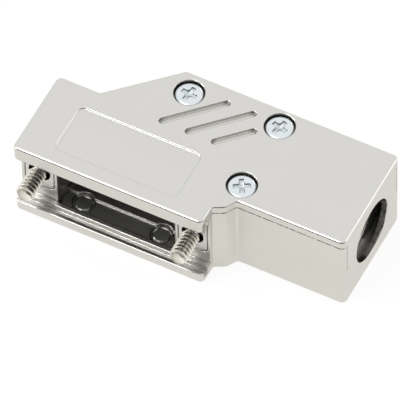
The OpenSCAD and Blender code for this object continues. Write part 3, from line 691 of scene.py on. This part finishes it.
def give_finish(nodes, material):
    """Puts a finish on CAD nodes that stay as they are."""
    for node in nodes:
        for slot in frame["nodes"][node].material_slots:
            slot.material = material


# ---- Operators -------------------------------------------------------------------------------------

# Lamps: name, direction from the hood, brightness (1 is white), side in metres
LAMPS = (
    ("lamp_above", (-0.28, -0.42, 0.86), 5.0, 0.20),
    ("lamp_right", (0.80, 0.50, 0.35), 0.9, 0.24),
    ("lamp_left", (-0.85, -0.50, 0.42), 7.0, 0.22),
)
LAMP_DISTANCE = 0.5


class HOOD_OT_stage(Operator):
    """Floor, world light, lamps and camera"""

    bl_idname = "hood.set_stage"
    bl_label = "Set the stage"

    def execute(self, context):
        settings = context.scene.hood_stage
        context.scene.view_settings.view_transform = "Standard"
        self.light_the_world(context.scene, settings)
        self.lay_floor(context.scene, settings)
        centre = (CAD_LOW + CAD_HIGH) / 2
        for name, toward, strength, side in LAMPS:
            offset = Vector(toward).normalized() * LAMP_DISTANCE
            self.hang_lamp(context.scene, name, centre, offset, strength, side)
        self.aim_camera(context.scene, settings)
        return {"FINISHED"}

    @staticmethod
    def seen_directly(tree):
        """1 for rays from the camera, off metal and through glass, and 0 for all others."""
        path = tree.nodes.new("ShaderNodeLightPath")
        both = math_node(tree, "ADD", path.outputs["Is Camera Ray"], path.outputs["Is Glossy Ray"])
        return math_node(tree, "ADD", both, path.outputs["Is Transmission Ray"], clamp=True)

    def light_the_world(self, scene, settings):
        """White all round for the camera. Metal shows the same white above and behind the hood, and a dark
        room in front of it at eye level. The dark part ends lower the further back it lies."""
        slant, dark_to_white = 0.5, (0.08, 0.40)
        world = bpy.data.worlds.new("studio")
        scene.world = world
        world.use_nodes = True
        tree = world.node_tree
        background = tree.nodes["Background"]
        background.inputs["Color"].default_value = (1, 1, 1, 1)
        path = tree.nodes.new("ShaderNodeLightPath")
        glossy, through = path.outputs["Is Glossy Ray"], path.outputs["Is Transmission Ray"]
        shiny = math_node(tree, "ADD", glossy, through, clamp=True)
        direction = tree.nodes.new("ShaderNodeSeparateXYZ")
        tree.links.new(tree.nodes.new("ShaderNodeTexCoord").outputs["Generated"], direction.inputs[0])
        back = math_node(tree, "MULTIPLY", direction.outputs["Y"], slant)
        height = math_node(tree, "ADD", direction.outputs["Z"], back)
        rise = smooth_range(tree, height, *dark_to_white, settings.horizon, 1.0)
        reflected = math_node(tree, "MULTIPLY", shiny, rise)
        others = math_node(tree, "SUBTRACT", 1.0, self.seen_directly(tree), clamp=True)
        ambient = math_node(tree, "MULTIPLY_ADD", others, settings.ambient)
        tree.links.new(path.outputs["Is Camera Ray"], ambient.node.inputs[2])
        tree.links.new(math_node(tree, "ADD", ambient, reflected), background.inputs["Strength"])

    def lay_floor(self, scene, settings):
        """A square under the hood: grey shadow from a matt share, and white from a glowing share."""
        half, z = 2.0, CAD_LOW.z
        corners = [(-half, -half, z), (half, -half, z), (half, half, z), (-half, half, z)]
        mesh = bpy.data.meshes.new("floor")
        mesh.from_pydata(corners, [], [(0, 1, 2, 3)])
        floor = bpy.data.objects.new("floor", mesh)
        scene.collection.objects.link(floor)
        material = bpy.data.materials.new("pale_floor")
        material.use_nodes = True
        tree = material.node_tree
        matt = tree.nodes["Principled BSDF"]
        matt.inputs["Base Color"].default_value = (*settings.floor, 1)
        matt.inputs["Roughness"].default_value = 0.9
        matt.inputs["Specular IOR Level"].default_value = 0.0
        glow = tree.nodes.new("ShaderNodeEmission")
        path = tree.nodes.new("ShaderNodeLightPath")
        tint = mixed_colour(tree, path.outputs["Is Camera Ray"], settings.floor_in_metal, (1, 1, 1))
        tree.links.new(tint, glow.inputs["Color"])
        mix = tree.nodes.new("ShaderNodeMixShader")
        seen = math_node(tree, "MULTIPLY", self.seen_directly(tree), settings.floor_glow)
        tree.links.new(seen, mix.inputs["Fac"])
        tree.links.new(matt.outputs["BSDF"], mix.inputs[1])
        tree.links.new(glow.outputs["Emission"], mix.inputs[2])
        tree.links.new(mix.outputs["Shader"], tree.nodes["Material Output"].inputs["Surface"])
        mesh.materials.append(material)

    def hang_lamp(self, scene, name, centre, offset, strength, side):
        """Square soft lamp; strength is its brightness, where 1 is white."""
        light = bpy.data.lights.new(name, "AREA")
        light.size = side
        light.energy = strength * math.pi * side * side
        lamp = bpy.data.objects.new(name, light)
        scene.collection.objects.link(lamp)
        lamp.location = centre + offset
        lamp.rotation_mode = "QUATERNION"
        lamp.rotation_quaternion = (-offset).to_track_quat("-Z", "Y")

    def aim_camera(self, scene, settings):
        """Camera on a sphere round a point of the hood, shifted a little sideways and down."""
        turning_point = Vector((10, 12, -0.4)) * MM
        shift_across, shift_up = -1.01 * MM, -2.53 * MM
        a, e, roll = settings.azimuth, settings.elevation, settings.roll
        back = Vector((math.sin(a) * math.cos(e), -math.cos(a) * math.cos(e), math.sin(e)))
        right = (-back).cross(Vector((0, 0, 1))).normalized()
        up = right.cross(-back)
        across = right * math.cos(roll) + up * math.sin(roll)
        upward = up * math.cos(roll) - right * math.sin(roll)
        camera = bpy.data.objects.new("camera", bpy.data.cameras.new("camera"))
        scene.collection.objects.link(camera)
        place = turning_point + back * settings.distance + across * shift_across + upward * shift_up
        turn = Matrix((across, upward, back)).transposed().to_4x4()
        camera.matrix_world = Matrix.Translation(place) @ turn
        camera.data.lens = settings.lens
        camera.data.sensor_width = 36
        camera.data.clip_start, camera.data.clip_end = 0.1, 20
        scene.camera = camera


class HOOD_OT_shells(Operator):
    """Nickel finish of the two cast shells and of the clamp saddle"""

    bl_idname = "hood.finish_castings"
    bl_label = "Finish the castings"

    def execute(self, context):
        finish = context.scene.hood_finish
        nickel = cast_material(
            "satin_nickel", finish.nickel, finish.nickel_shade_joint_and_patches, finish.nickel_hollow_shade, finish.nickel_rough, finish
        )
        give_finish(["base_shell", "cover_shell", "clamp_saddle"], nickel)
        return {"FINISHED"}


class HOOD_OT_clips(Operator):
    """Spring steel finish of the two retaining clips"""

    bl_idname = "hood.finish_clips"
    bl_label = "Finish the clips"

    def execute(self, context):
        finish = context.scene.hood_finish
        spring = turned_material(
            "spring_steel", finish.spring, finish.spring_dull, finish.spring_rough, finish
        )
        give_finish(["left_retaining_clip", "right_retaining_clip"], spring)
        return {"FINISHED"}


class HOOD_OT_jackscrews(Operator):
    """Two threaded jackscrews with slotted heads"""

    bl_idname = "hood.make_jackscrews"
    bl_label = "Make the jackscrews"

    def execute(self, context):
        sizes, finish = context.scene.hood_jackscrews, context.scene.hood_finish
        steel = turned_material("plated_steel", finish.steel, finish.steel_shade_and_patches, finish.steel_rough, finish)
        for side in ("left", "right"):
            node = f"{side}_jackscrew"
            low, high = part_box(node)
            clip_low, clip_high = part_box(f"{side}_retaining_clip")
            points, faces, depth = jackscrew_surface(
                sizes, low.y, clip_low.y, clip_high.y, high.y, width_of(node) / 2
            )
            axis = (low + high) / 2
            placed = np.stack([axis.x + points[:, 1], points[:, 2], axis.z + points[:, 0]], -1)
            surface = (placed, faces, depth)
            make_piece(f"{node}_threaded", surface, steel, body_of_node(node), node)
        return {"FINISHED"}


class HOOD_OT_screws(Operator):
    """Three cover screws and two clamp screws with cross recesses"""

    bl_idname = "hood.make_screws"
    bl_label = "Make the cover and clamp screws"

    def execute(self, context):
        sizes, finish = context.scene.hood_screws, context.scene.hood_finish
        zinc = turned_material("bright_zinc", finish.zinc, finish.zinc_shade_and_patches, finish.zinc_rough, finish)
        for node, head_h, thread_d, turn in (
            ("cover_screw_rear_left", sizes.cover_head_h, sizes.cover_thread_d, sizes.rear_left_turn),
            ("cover_screw_rear_right", sizes.cover_head_h, sizes.cover_thread_d, sizes.rear_right_turn),
            ("cover_screw_front", sizes.cover_head_h, sizes.cover_thread_d, sizes.front_turn),
            ("clamp_screw_front", sizes.clamp_head_h, sizes.clamp_thread_d, sizes.clamp_turn),
            ("clamp_screw_rear", sizes.clamp_head_h, sizes.clamp_thread_d, sizes.clamp_turn),
        ):
            low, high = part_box(node)
            points, faces, depth = pan_screw_surface(
                sizes, high.z - head_h, low.z, head_h, width_of(node) / 2, thread_d / 2, turn
            )
            axis = (low + high) / 2
            surface = (points + np.array([axis.x, axis.y, 0.0]), faces, depth)
            make_piece(f"{node}_recessed", surface, zinc, body_of_node(node), node)
        return {"FINISHED"}


class HOOD_PT_looks(Panel):
    """Buttons for each group of pieces, and their settings"""

    bl_label = "Hood"
    bl_space_type = "VIEW_3D"
    bl_region_type = "UI"
    bl_category = "Hood"

    def draw(self, context):
        for operator in (HOOD_OT_shells, HOOD_OT_clips, HOOD_OT_jackscrews, HOOD_OT_screws, HOOD_OT_stage):
            self.layout.operator(operator.bl_idname)
        for settings in SETTINGS:
            group = getattr(context.scene, settings)
            box = self.layout.box()
            for name in group.__annotations__:
                box.prop(group, name)


CLASSES = (
    HoodJackscrews, HoodScrews, HoodFinish, HoodStage,
    HOOD_OT_stage, HOOD_OT_shells, HOOD_OT_clips, HOOD_OT_jackscrews, HOOD_OT_screws, HOOD_PT_looks,
)
SETTINGS = {
    "hood_jackscrews": HoodJackscrews, "hood_screws": HoodScrews,
    "hood_finish": HoodFinish, "hood_stage": HoodStage,
}


def register():
    """Makes the classes and the settings known to Blender."""
    for cls in CLASSES:
        bpy.utils.register_class(cls)
    for name, group in SETTINGS.items():
        setattr(bpy.types.Scene, name, PointerProperty(type=group))


def unregister():
    """Takes back what register() made known."""
    for name in SETTINGS:
        delattr(bpy.types.Scene, name)
    for cls in reversed(CLASSES):
        bpy.utils.unregister_class(cls)


def main():
    """Builds everything."""
    register()
    bpy.ops.hood.set_stage()
    bpy.ops.hood.finish_castings()
    bpy.ops.hood.finish_clips()
    bpy.ops.hood.make_jackscrews()
    bpy.ops.hood.make_screws()


if __name__ == "__main__":
    main()
